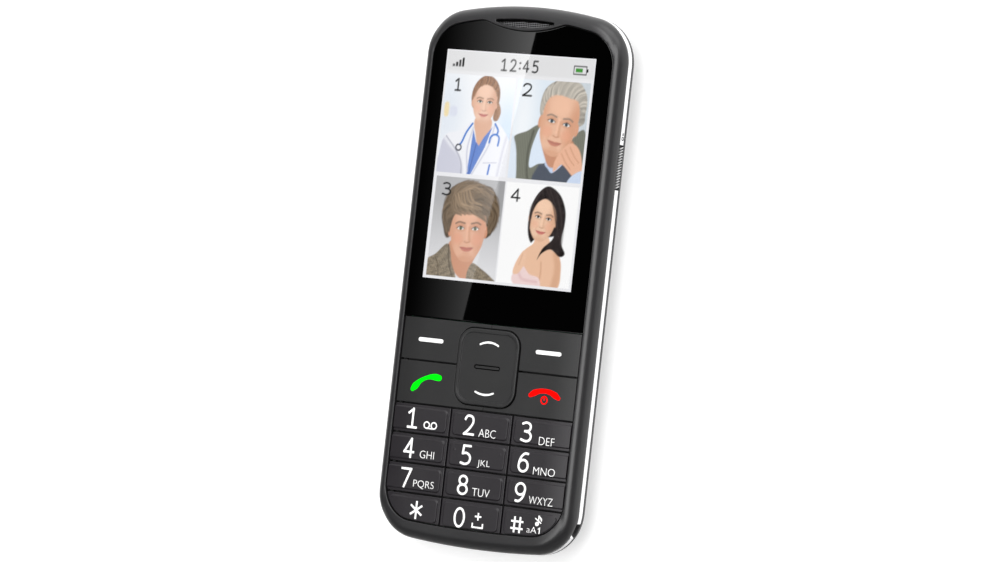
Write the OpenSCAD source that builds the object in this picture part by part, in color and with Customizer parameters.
// Feature phone lying on its back: screen and keys face up, earpiece end toward +Y.
// Lengths are in millimetres. The middle of the resting face is at the origin.

/* [Body] */
// Length from the earpiece end to the keypad end
body_l = 135.7; // [122:0.1:150]
// Width across the bright band
body_w = 57.6; // [51.8:0.1:64]
// Height of the window face above the table
face_z = 13.2; // [12:0.1:15]
// Radius of the four corners seen from the front
corner_r = 11.5; // [10.5:0.1:13]
// Height of the bright band
band_h = 1.8; // [1.6:0.1:2]
// Wall of the back shell
shell_t = 1.1; // [0.9:0.05:1.2]

/* [Screen] */
// Bezel width at the sides, from the window to the band
bezel_w = 2.8; // [2.6:0.1:3.4]
// Height of the lit screen area
screen_h = 57.6; // [51:0.1:64]
// Window thickness
lens_t = 1; // [0.8:0.05:1.1]
// Height of the earpiece slot
slot_h = 1.8; // [1.4:0.1:2]

/* [Keypad] */
// Height of a function key, in dialling rows
func_rows = 1.46; // [1.3:0.02:1.6]
// Width of the middle key column
mid_col_w = 17.9; // [16:0.1:19.6]
// Gap between neighbouring keys
key_gap = 0.4; // [0.3:0.02:0.5]
// Rise of the raised key tops
pad_rise = 0.3; // [0.1:0.05:0.4]
// Press depth of the keys
key_travel = 0.35; // [0.2:0.05:0.4]
// Length of the ridged side rocker
rocker_l = 10.8; // [9:0.1:12]
// Ridges on the side rocker
rocker_ridges = 14; // [10:1:16]

/* [Inside] */
// Battery width
battery_w = 40; // [35:0.5:44]
// Length of the fixed part of the back, above the sliding cover
cap_l = 30.8; // [28:0.1:34]

/* [Hidden] */

// Clearance round the window and the keys, and the thickness of a slice in a blended form
fit = 0.15;
thin = 0.01;

// Heights of the layers, from the table up
half_w = body_w / 2;
half_l = body_l / 2;
crest_z = face_z + 0.15;
housing_z0 = face_z - 3.6;
band_z0 = housing_z0 - band_h;
plate_z1 = band_z0 - 0.9;
plate_z0 = plate_z1 - 0.5;
board_z0 = band_z0 + 0.3;
board_z1 = board_z0 + 0.8;
lens_z0 = face_z - lens_t;
ledge_z0 = lens_z0 - 0.9;
display_z0 = board_z1 + 0.7;
display_z1 = lens_z0 - 0.2;
key_z0 = face_z - 1.7;
key_z1 = face_z - 0.2;
key_ledge_z1 = key_z0 - key_travel - fit;
key_ledge_z0 = key_ledge_z1 - 0.7;
web_z0 = key_ledge_z0 - 0.4;
dome_z1 = board_z1 + 0.15;
rim_h = crest_z - housing_z0 - thin;
cut = 0.1;

// Layout of the front, from the top end down
face_half = half_w - bezel_w;
face_top = half_l - 3.3;
face_bot = -half_l + 4.55;
face_r = corner_r - bezel_w + 0.3;
brow_h = 8.8;
chin_h = 9.9;
keypad_h = face_top - face_bot - brow_h - screen_h - chin_h;
row_h = keypad_h / (4 + 2 * func_rows);
func_h = func_rows * row_h;
dial_top = face_bot + 4 * row_h;
func_mid = dial_top + func_h;
lens_bot = func_mid + func_h;
screen_cy = lens_bot + chin_h + screen_h / 2;
screen_half = face_half - 1;
display_y0 = lens_bot + 1.2;
display_y1 = screen_cy + screen_h / 2 + 1.6;
dip_r = 31;
dip_y = face_top - 3.1;
slot_top = face_top - 0.25;
slot_half = body_w * 0.146;
col_x = mid_col_w / 2;

// Nav key in the middle of the function keys
nav_hx = col_x - 0.25;
nav_hy = func_h - 1.47;
nav_r = 4;
nav_rise = 0.35;
nav_axis_z = key_z0 + 0.1;

// Side rocker, its opening and its pivot
rocker_y = screen_cy + 2.8;
rocker_z = (band_z0 + housing_z0) / 2;
rocker_h = band_h - 0.2;
rocker_pivot_x = half_w - 2.3;

// Holes and fixings
screw_top = [half_w * 0.52, half_l - 6.3];
screw_bot = [half_w * 0.45, -half_l + 3.6];
boss_r = 1.4;
screw_z = plate_z0 + 0.4;
screw_reach = key_ledge_z0 - board_z1 + 0.5;
port_z = band_z0;
split_y = half_l - cap_l;
camera_y = half_l - 0.465 * cap_l;
camera_s = 0.26 * cap_l;
speaker_y = half_l - 0.79 * cap_l;
speaker_h = 0.3 * cap_l;
speaker_z = shell_t + 1.8;
battery_y0 = -half_l + 29.85;
battery_y1 = split_y - 21;
sim_y = battery_y1 + 5;
rail_y0 = -half_l + 22.8;
rail_y1 = split_y - 7;
grip_depth = 0.3;
rail_z0 = plate_z1 + 0.15;
rail_z1 = rail_z0 + 0.4;
rail_x0 = half_w - 2.6;

function arc_pts(cx, cy, r, a0, a1, n) =
    [for (i = [0:n]) let (a = a0 + (a1 - a0) * i / n) [cx + r * cos(a), cy + r * sin(a)]];

// Outline with arched ends: half width, end positions, arch radii, corner radius, all inset by d
function arched(hw, yt, yb, rt, rb, r, d) =
    let (cx = hw - r, ct = yt - rt, cb = yb + rb, k = max(r - d, 0.4), ex = hw - d - k)
    let (dt = sqrt(pow(rt - d - k, 2) - ex * ex), db = sqrt(pow(rb - d - k, 2) - ex * ex))
    let (at = atan2(dt, ex), ab = atan2(db, ex))
    concat(
        arc_pts(ex, ct + dt, k, 0, at, 9),
        [for (i = [1:7]) let (a = at + (180 - 2 * at) * i / 8)
            [(rt - d) * cos(a), ct + (rt - d) * sin(a)]],
        arc_pts(-ex, ct + dt, k, 180 - at, 180, 9),
        arc_pts(-ex, cb - db, k, 180, 180 + ab, 9),
        [for (i = [1:7]) let (a = 180 + ab + (180 - 2 * ab) * i / 8)
            [(rb - d) * cos(a), cb + (rb - d) * sin(a)]],
        arc_pts(ex, cb - db, k, 360 - ab, 360, 9));

function body_pts(d) = arched(half_w, half_l, -half_l, 105, 160, corner_r, d);
function face_pts(d) = arched(face_half, face_top, face_bot, 85, 300, face_r, d);

module slab(z0, z1) {
    translate([0, 0, z0])
        linear_extrude(z1 - z0)
            children();
}

module box(x0, x1, y0, y1, z0, z1) {
    translate([x0, y0, z0])
        cube([x1 - x0, y1 - y0, z1 - z0]);
}

module rounded(x0, x1, y0, y1, r) {
    translate([x0 + r, y0])
        square([x1 - x0 - 2 * r, y1 - y0]);
    translate([x0, y0 + r])
        square([x1 - x0, y1 - y0 - 2 * r]);
    for (x = [x0 + r, x1 - r], y = [y0 + r, y1 - r])
        translate([x, y])
            circle(r, $fn = 32);
}

// Part of the bezel that dips into the top of the window, around the earpiece
module dip(grow) {
    intersection() {
        translate([0, dip_y + dip_r])
            circle(dip_r + grow, $fn = 180);
        translate([-half_w, dip_y - 3])
            square([body_w, 20]);
    }
}

module slot_shape() {
    intersection() {
        translate([0, slot_top - slot_h + dip_r])
            circle(dip_r, $fn = 180);
        translate([-slot_half, slot_top - slot_h - 1])
            square([2 * slot_half, slot_h + 1]);
    }
}

// Crowned back: a tight edge under the band that opens into a wide arch, d inside the outer skin
back_r1 = 3;
back_turn = 40;
back_r2 = (band_z0 - back_r1 * sin(back_turn)) / (1 - sin(back_turn));
function back_inset(a) = a < back_turn ? back_r1 * (1 - cos(a))
    : back_r1 * (1 - cos(back_turn)) + back_r2 * (cos(back_turn) - cos(a));
function back_drop(a) = a < back_turn ? back_r1 * sin(a)
    : back_r1 * sin(back_turn) + back_r2 * (sin(a) - sin(back_turn));

// Height of the inner skin of the back, a distance in from the outline
function back_turn_at(i) = acos(cos(back_turn) - (i - back_r1 * (1 - cos(back_turn))) / back_r2);
function inner_z(i) = band_z0 - back_drop(back_turn_at(i)) + shell_t / sin(back_turn_at(i));
battery_z0 = inner_z(half_w - battery_w / 2) + 0.3;
battery_z1 = plate_z0 - 0.1;
bay_z0 = inner_z(half_w - battery_w / 2 - 1.2) + 0.4;

module back_form(d, top) {
    hull() {
        slab(top - thin, top)
            polygon(body_pts(d));
        for (a = [20, 40, 55, 70, 80, 90])
            slab(band_z0 - back_drop(a) + d * sin(a), band_z0 - back_drop(a) + d * sin(a) + thin)
                polygon(body_pts(back_inset(a) + d * cos(a)));
    }
}

module back_shell() {
    difference() {
        back_form(0, band_z0);
        back_form(shell_t, band_z0 + cut);
    }
}

module front_housing() {
    color("dimgray") {
        difference() {
            hull()
                for (a = [0:15:90])
                    slab(housing_z0 + rim_h * cos(a), housing_z0 + rim_h * cos(a) + thin)
                        polygon(body_pts((bezel_w - 0.05) * (1 - sin(a))));
            slab(housing_z0 - cut, ledge_z0)
                polygon(body_pts(1.5));
            slab(ledge_z0 - cut, crest_z + cut)
                difference() {
                    polygon(face_pts(0));
                    dip(0);
                }
            slab(ledge_z0 - cut, crest_z + cut)
                slot_shape();
        }
        slab(ledge_z0, lens_z0)
            difference() {
                polygon(face_pts(-0.2));
                translate([-half_w, -half_l])
                    square([body_w, half_l + lens_bot + 0.1]);
                translate([-screen_half - 0.1, display_y0 - 0.1])
                    square([2 * screen_half + 0.2, display_y1 - display_y0 + 0.2]);
                slot_shape();
            }
        slab(key_ledge_z0, lens_z0)
            intersection() {
                polygon(body_pts(1.45));
                translate([-half_w, lens_bot + 0.1])
                    square([body_w, 1]);
            }
        difference() {
            union() {
                key_ledge();
                for (s = [-1, 1], p = [screw_top, screw_bot])
                    translate([s * p.x, p.y, board_z1])
                        cylinder(h = (p.y > 0 ? ledge_z0 + 0.05 : key_ledge_z1) - board_z1, r = boss_r, $fn = 32);
            }
            for (s = [-1, 1], p = [screw_top, screw_bot])
                translate([s * p.x, p.y, board_z1 - cut])
                    cylinder(h = screw_reach + 0.15, r = 0.8, $fn = 32);
        }
    }
}

module key_ledge() {
    slab(key_ledge_z0, key_ledge_z1)
        difference() {
            polygon(body_pts(1.45));
            translate([-half_w, lens_bot + 1.1])
                square([body_w, body_l]);
            intersection() {
                polygon(face_pts(0.9));
                translate([-half_w, -half_l])
                    square([body_w, half_l + lens_bot - 0.9]);
            }
        }
}

module lens() {
    color("black")
        slab(lens_z0, face_z)
            difference() {
                polygon(face_pts(fit));
                dip(fit);
                translate([-half_w, -half_l])
                    square([body_w, half_l + lens_bot]);
            }
}

module earpiece_mesh() {
    color("#222222")
        slab(lens_z0 + 0.5, lens_z0 + 0.7)
            slot_shape();
}

module earpiece_receiver() {
    color("silver")
        slab(board_z1, ledge_z0)
            rounded(-7.5, 7.5, half_l - 9.6, half_l - 3, 2);
}

module display_module() {
    color("white")
        box(-screen_half, screen_half, display_y0, display_y1, display_z0, display_z1);
}

module display_foam() {
    color("#333333")
        slab(board_z1, display_z0)
            difference() {
                translate([-screen_half + 1, display_y0 + 1])
                    square([2 * screen_half - 2, display_y1 - display_y0 - 2]);
                translate([-screen_half + 7, display_y0 + 7])
                    square([2 * screen_half - 14, display_y1 - display_y0 - 14]);
            }
}

module face_cell(x0, x1, y0, y1, d) {
    intersection() {
        polygon(face_pts(d));
        translate([x0, y0])
            square([x1 - x0, y1 - y0]);
    }
}

module nav_shape(d) {
    rounded(-nav_hx - d, nav_hx + d, func_mid - nav_hy - d, func_mid + nav_hy + d, nav_r + d);
}

// Edges of a dialling key: column 0 to 2, row 0 at the top
function cell_x0(c) = c == 0 ? -face_half : (c == 1 ? -col_x : col_x);
function cell_x1(c) = c == 0 ? -col_x : (c == 1 ? col_x : face_half);
function cell_y1(r) = dial_top - r * row_h;

module dial_key(c, r) {
    g = key_gap / 2;
    x0 = cell_x0(c) + g;
    x1 = cell_x1(c) - g;
    y1 = cell_y1(r) - g;
    y0 = y1 + key_gap - row_h + (r == 3 ? -g : 0);
    color("gray") {
        slab(key_z0, key_z1)
            face_cell(x0, x1, y0, y1, fit);
        hull() {
            slab(key_z1 - 0.05, key_z1)
                intersection() {
                    polygon(face_pts(0.75));
                    rounded(x0 + 0.6, x1 - 0.6, y0 + 0.6, y1 - 0.6, 1.2);
                }
            slab(key_z1, key_z1 + pad_rise)
                intersection() {
                    polygon(face_pts(1.15));
                    rounded(x0 + 1, x1 - 1, y0 + 1, y1 - 1, 0.9);
                }
        }
    }
}

// Function key on one side of the nav key: s is -1 at the left, top is 1 for the soft keys
module func_key(s, top) {
    g = key_gap / 2;
    y0 = top == 1 ? func_mid + g : dial_top + g;
    y1 = top == 1 ? lens_bot - g : func_mid - g;
    x0 = s < 0 ? -face_half : 0.06;
    x1 = s < 0 ? -0.06 : face_half;
    color("gray")
        slab(key_z0, key_z1)
            difference() {
                face_cell(x0, x1, y0, y1, fit);
                nav_shape(key_gap - 0.05);
            }
}

module soft_key_left() {
    func_key(-1, 1);
}

module soft_key_right() {
    func_key(1, 1);
}

module call_key() {
    func_key(-1, 0);
}

module end_key() {
    func_key(1, 0);
}

module nav_key() {
    color("gray")
        difference() {
            union() {
                slab(key_z0, key_z1)
                    nav_shape(0);
                hull() {
                    slab(key_z1 - 0.05, key_z1)
                        nav_shape(-0.1);
                    slab(key_z1, key_z1 + nav_rise)
                        nav_shape(-1.1);
                }
                translate([-5, func_mid, nav_axis_z])
                    rotate([0, 90, 0])
                        cylinder(h = 10, r = 0.8, $fn = 32);
            }
            slab(key_z1 + nav_rise - 0.2, key_z1 + nav_rise + cut)
                rounded(-3.75, 3.75, func_mid - 0.6, func_mid + 0.6, 0.55);
        }
}

module key_1() {
    dial_key(0, 0);
}

module key_2() {
    dial_key(1, 0);
}

module key_3() {
    dial_key(2, 0);
}

module key_4() {
    dial_key(0, 1);
}

module key_5() {
    dial_key(1, 1);
}

module key_6() {
    dial_key(2, 1);
}

module key_7() {
    dial_key(0, 2);
}

module key_8() {
    dial_key(1, 2);
}

module key_9() {
    dial_key(2, 2);
}

module key_star() {
    dial_key(0, 3);
}

module key_0() {
    dial_key(1, 3);
}

module key_hash() {
    dial_key(2, 3);
}

// Middle points of the keys, where the mat's nubs and the domes are
function dial_mid(c, r) = [(cell_x0(c) + cell_x1(c)) / 2, cell_y1(r) - row_h / 2];
press_points = concat(
    [for (c = [0:2], r = [0:3]) dial_mid(c, r)],
    [for (s = [-1, 1], t = [-1, 1]) [s * (face_half + nav_hx) / 2, func_mid + t * func_h / 2]],
    [for (s = [-1, 1]) [0, func_mid + s * (nav_hy - 2.9)]]);
dome_r = row_h * 0.295;
pad_h = row_h - 2.25;

module mat_edge(d) {
    face_cell(-face_half, face_half, face_bot + 0.6 + d, lens_bot - 0.4 - d, 0.3 + d);
}

module keymat() {
    color("lightgray") {
        slab(web_z0, web_z0 + 0.4)
            mat_edge(0);
        slab(dome_z1, web_z0)
            difference() {
                mat_edge(0);
                mat_edge(0.7);
            }
        slab(web_z0 + 0.3, key_z0)
            intersection() {
                polygon(face_pts(1.2));
                for (p = press_points)
                    translate([p.x - 5.5, p.y - pad_h / 2])
                        square([11, pad_h]);
            }
        for (p = press_points)
            translate([p.x, p.y, dome_z1 + 0.35])
                cylinder(h = web_z0 - dome_z1 - 0.3, r = 1.2, $fn = 24);
    }
}

module dome_sheet() {
    color("gainsboro") {
        slab(board_z1, dome_z1)
            mat_edge(0.1);
        for (p = press_points)
            translate([p.x, p.y, dome_z1 - 0.05])
                cylinder(h = 0.35, r1 = dome_r, r2 = dome_r * 0.55, $fn = 32);
    }
}

module main_board() {
    color("darkgreen")
        slab(board_z0, board_z1)
            difference() {
                polygon(body_pts(2.4));
                for (s = [-1, 1], p = [screw_top, screw_bot])
                    translate([s * p.x, p.y])
                        circle(0.9, $fn = 32);
                translate([-4.2, -half_l])
                    square([8.4, 6.4]);
                translate([half_w - 4.4, rocker_y - rocker_l / 2 - 1])
                    square([4, rocker_l + 2]);
            }
}

module shield_cans() {
    color("silver") {
        box(7.8 - half_w, -2, battery_y0 + 4, battery_y1 - 2, plate_z1 + 0.1, board_z0);
        box(2, half_w - 7.8, battery_y0 + 4, battery_y1 - 12, plate_z1 + 0.1, board_z0);
    }
}

module chrome_band() {
    color("whitesmoke")
        difference() {
            slab(band_z0, housing_z0)
                difference() {
                    polygon(body_pts(0));
                    polygon(body_pts(1.2));
                }
            box(half_w - 4, half_w + 1, rocker_y - rocker_l / 2 - 0.2, rocker_y + rocker_l / 2 + 0.2,
                band_z0 - cut, housing_z0 + cut);
            box(-3.8, 3.8, -half_l - 1, -half_l + 3, band_z0 - cut, port_z + 0.95);
            translate([half_w - corner_r, -half_l + corner_r + 1.3, band_z0 - cut])
                rotate(-25)
                    translate([corner_r + 2.3, 0, 0])
                        cylinder(h = band_h + 2 * cut, r = 3, $fn = 48);
        }
}

module chassis() {
    bay_x = battery_w / 2 + 0.2;
    color("#3a3a3a")
        difference() {
            union() {
                slab(plate_z0, plate_z1)
                    polygon(body_pts(2.1));
                slab(plate_z1 - 0.02, band_z0)
                    difference() {
                        polygon(body_pts(1.7));
                        polygon(body_pts(3.6));
                    }
                slab(band_z0 - 0.02, board_z0)
                    difference() {
                        polygon(body_pts(1.2));
                        polygon(body_pts(3.6));
                    }
                slab(board_z0 - 0.02, housing_z0)
                    difference() {
                        polygon(body_pts(1.2));
                        polygon(body_pts(2.2));
                    }
                for (s = [-1, 1], p = [screw_top, screw_bot])
                    translate([s * p.x, p.y, plate_z1 - 0.02])
                        cylinder(h = board_z0 - plate_z1 + 0.02, r = 1.5, $fn = 32);
                slab(bay_z0, plate_z0 + 0.02)
                    difference() {
                        translate([-bay_x - 1, battery_y0 - 1.2])
                            square([2 * bay_x + 2, battery_y1 - battery_y0 + 1.4]);
                        translate([-bay_x, battery_y0 - 0.2])
                            square([2 * bay_x, battery_y1 - battery_y0 + 2]);
                    }
            }
            for (s = [-1, 1]) {
                translate([s * (rail_x0 + 4.8), 0, 0])
                    box(-5, 5, -half_l - 1, rail_y1 + 0.5, plate_z1, rail_z1 + 0.15);
                for (p = [screw_top, screw_bot])
                    translate([s * p.x, p.y, 0]) {
                        translate([0, 0, plate_z0 - cut])
                            cylinder(h = screw_z + 0.8 - plate_z0 + cut, r = 1.4, $fn = 32);
                        cylinder(h = board_z0 + cut, r = 0.9, $fn = 32);
                        translate([0, 0, board_z0])
                            cylinder(h = 3, r = boss_r + 0.1, $fn = 32);
                    }
            }
            box(-4.2, 4.2, -half_l, -half_l + 6.4, port_z - 1.2, housing_z0 + cut);
            box(half_w - 5, half_w, rocker_y - rocker_l / 2 - 1, rocker_y + rocker_l / 2 + 1,
                rocker_z - rocker_h / 2 - 0.1, housing_z0 + cut);
            box(-16.2, 0.2, sim_y - 2.4, sim_y + 14.2, plate_z0 - cut, plate_z1 + cut);
            box(1.8, 14.2, battery_y1 + 0.1, battery_y1 + 3.7, plate_z0 - cut, plate_z1 + cut);
        }
}

module screws() {
    color("dimgray")
        for (s = [-1, 1], p = [screw_top, screw_bot])
            translate([s * p.x, p.y, screw_z])
                difference() {
                    union() {
                        cylinder(h = 0.8, r = 1.3, $fn = 32);
                        cylinder(h = board_z1 + screw_reach - screw_z, r = 0.75, $fn = 32);
                    }
                    box(-0.8, 0.8, -0.13, 0.13, -cut, 0.4);
                    box(-0.13, 0.13, -0.8, 0.8, -cut, 0.4);
                }
}

module battery_cover() {
    color("dimgray") {
        difference() {
            intersection() {
                back_shell();
                box(-half_w, half_w, -half_l, split_y, -1, band_z0 + 1);
            }
            box(-4.1, 4.1, -half_l - 1, -half_l + 4, port_z - 1.25, band_z0 + cut);
            for (i = [0:4])
                slab(-cut, grip_depth)
                    rounded(-9, 9, split_y - 6.4 - i * 2.2, split_y - 5.6 - i * 2.2, 0.39);
        }
        for (s = [-1, 1])
            translate([s * (half_w - 1.7), 0, 0])
                box(-0.9, 0.9, rail_y0, rail_y1, rail_z0, rail_z1);
    }
}

module rear_cap() {
    color("dimgray")
        difference() {
            union() {
                intersection() {
                    back_shell();
                    box(-half_w, half_w, split_y + 0.15, half_l, -1, band_z0 + 1);
                }
                slab(shell_t - 0.05, speaker_z)
                    difference() {
                        translate([-9.5, speaker_y - speaker_h / 2 - 0.5])
                            square([19, speaker_h + 1]);
                        translate([-8.5, speaker_y - speaker_h / 2 + 0.5])
                            square([17, speaker_h - 1]);
                    }
            }
            for (y = [-2.4, 0, 2.4])
                slab(-cut, shell_t + cut)
                    rounded(-6, 6, speaker_y + y - 0.45, speaker_y + y + 0.45, 0.44);
            translate([0, camera_y, -cut])
                cylinder(h = shell_t + 2 * cut, r = 2.5, $fn = 48);
            translate([0, camera_y, -cut])
                cylinder(h = 0.6 + cut, r = 3.5, $fn = 48);
        }
}

module battery() {
    color("#20242c")
        slab(battery_z0, battery_z1)
            rounded(-battery_w / 2, battery_w / 2, battery_y0, battery_y1, 1.5);
}

module battery_connector() {
    color("goldenrod") {
        box(2, 14, battery_y1 + 0.3, battery_y1 + 3.5, battery_z0 + 1, board_z0);
        for (x = [4, 8, 12])
            box(x - 0.4, x + 0.4, battery_y1, battery_y1 + 0.4, battery_z0 + 1.6, battery_z1 - 1);
    }
}

module sim_holder() {
    color("silver")
        difference() {
            box(-16, 0, sim_y, sim_y + 14, plate_z0, board_z0);
            box(-14.15, -1.85, sim_y - 1, sim_y + 13, plate_z0 + 0.4, plate_z0 + 1.2);
            box(-11, -5, sim_y - 1, sim_y + 5, plate_z0 - cut, plate_z0 + 0.5);
        }
}

module sim_card() {
    color("white")
        slab(plate_z0 + 0.4, plate_z0 + 1.16)
            difference() {
                translate([-14, sim_y - 2])
                    square([12, 15]);
                translate([-2, sim_y + 13])
                    rotate(45)
                        square(3.5, center = true);
            }
}

module loudspeaker() {
    color("#303030")
        slab(speaker_z, plate_z0)
            rounded(-9, 9, speaker_y - speaker_h / 2, speaker_y + speaker_h / 2, 2);
}

module camera_module() {
    color("#202020")
        union() {
            box(-camera_s / 2, camera_s / 2, camera_y - camera_s / 2, camera_y + camera_s / 2,
                shell_t + 1.3, plate_z0);
            translate([0, camera_y, shell_t + 0.3])
                cylinder(h = 1.1, r = 2.4, $fn = 48);
        }
}

module camera_window() {
    color("black")
        translate([0, camera_y, 0.02])
            cylinder(h = 0.58, r = 3.45, $fn = 48);
}

module vibration_motor() {
    color("silver")
        translate([-11, battery_y0 - 10, plate_z0 - 2.7])
            cylinder(h = 2.7, r = 5, $fn = 48);
}

module microphone() {
    color("silver")
        translate([9, face_bot + 2.5, plate_z1 + 0.05])
            cylinder(h = board_z0 - plate_z1 - 0.05, r = 2, $fn = 32);
}

module charging_port() {
    color("silver")
        difference() {
            box(-3.9, 3.9, -half_l + 1.3, -half_l + 6.4, port_z - 1.1, port_z + 1.1);
            box(-3.5, 3.5, -half_l, -half_l + 5.9, port_z - 0.9, port_z + 0.9);
        }
}

module antenna() {
    color("goldenrod")
        box(8.8 - half_w, half_w - 8.8, -half_l + 7.4, -half_l + 12.4, plate_z0 - 0.2, plate_z0);
}

module side_switch() {
    color("silver") {
        box(half_w - 4.4, half_w - 3, rocker_y - rocker_l / 2 - 0.8, rocker_y + rocker_l / 2 + 0.8,
            rocker_z - 0.7, rocker_z + 0.7);
        for (s = [-1, 1])
            box(half_w - 3.1, half_w - 2.65, rocker_y + s * 4 - 0.6, rocker_y + s * 4 + 0.6,
                rocker_z - 0.5, rocker_z + 0.5);
    }
}

module side_rocker() {
    pitch = (rocker_l - 0.6) / rocker_ridges;
    color("dimgray") {
        box(half_w - 1.7, half_w - 0.1, rocker_y - rocker_l / 2, rocker_y + rocker_l / 2,
            rocker_z - rocker_h / 2, rocker_z + rocker_h / 2);
        box(half_w - 2.3, half_w - 1.6, rocker_y - rocker_l / 2 - 0.7, rocker_y + rocker_l / 2 + 0.7,
            rocker_z - rocker_h / 2, rocker_z + rocker_h / 2);
        for (i = [0:rocker_ridges - 1])
            translate([half_w - 0.1, rocker_y + (i + 0.5) * pitch - (rocker_l - 0.6) / 2,
                rocker_z - rocker_h / 2])
                cylinder(h = rocker_h, r = pitch * 0.34, $fn = 24);
        translate([rocker_pivot_x, rocker_y, rocker_z - rocker_h / 2])
            cylinder(h = rocker_h, r = 0.5, $fn = 32);
    }
}

front_housing();
lens();
earpiece_mesh();
earpiece_receiver();
display_module();
display_foam();
keymat();
dome_sheet();
main_board();
shield_cans();
chrome_band();
chassis();
rear_cap();
battery_cover();
battery();
battery_connector();
sim_holder();
sim_card();
loudspeaker();
camera_module();
camera_window();
vibration_motor();
microphone();
charging_port();
antenna();
side_switch();
side_rocker();
screws();
nav_key();
soft_key_left();
soft_key_right();
call_key();
end_key();
key_1();
key_2();
key_3();
key_4();
key_5();
key_6();
key_7();
key_8();
key_9();
key_star();
key_0();
key_hash();
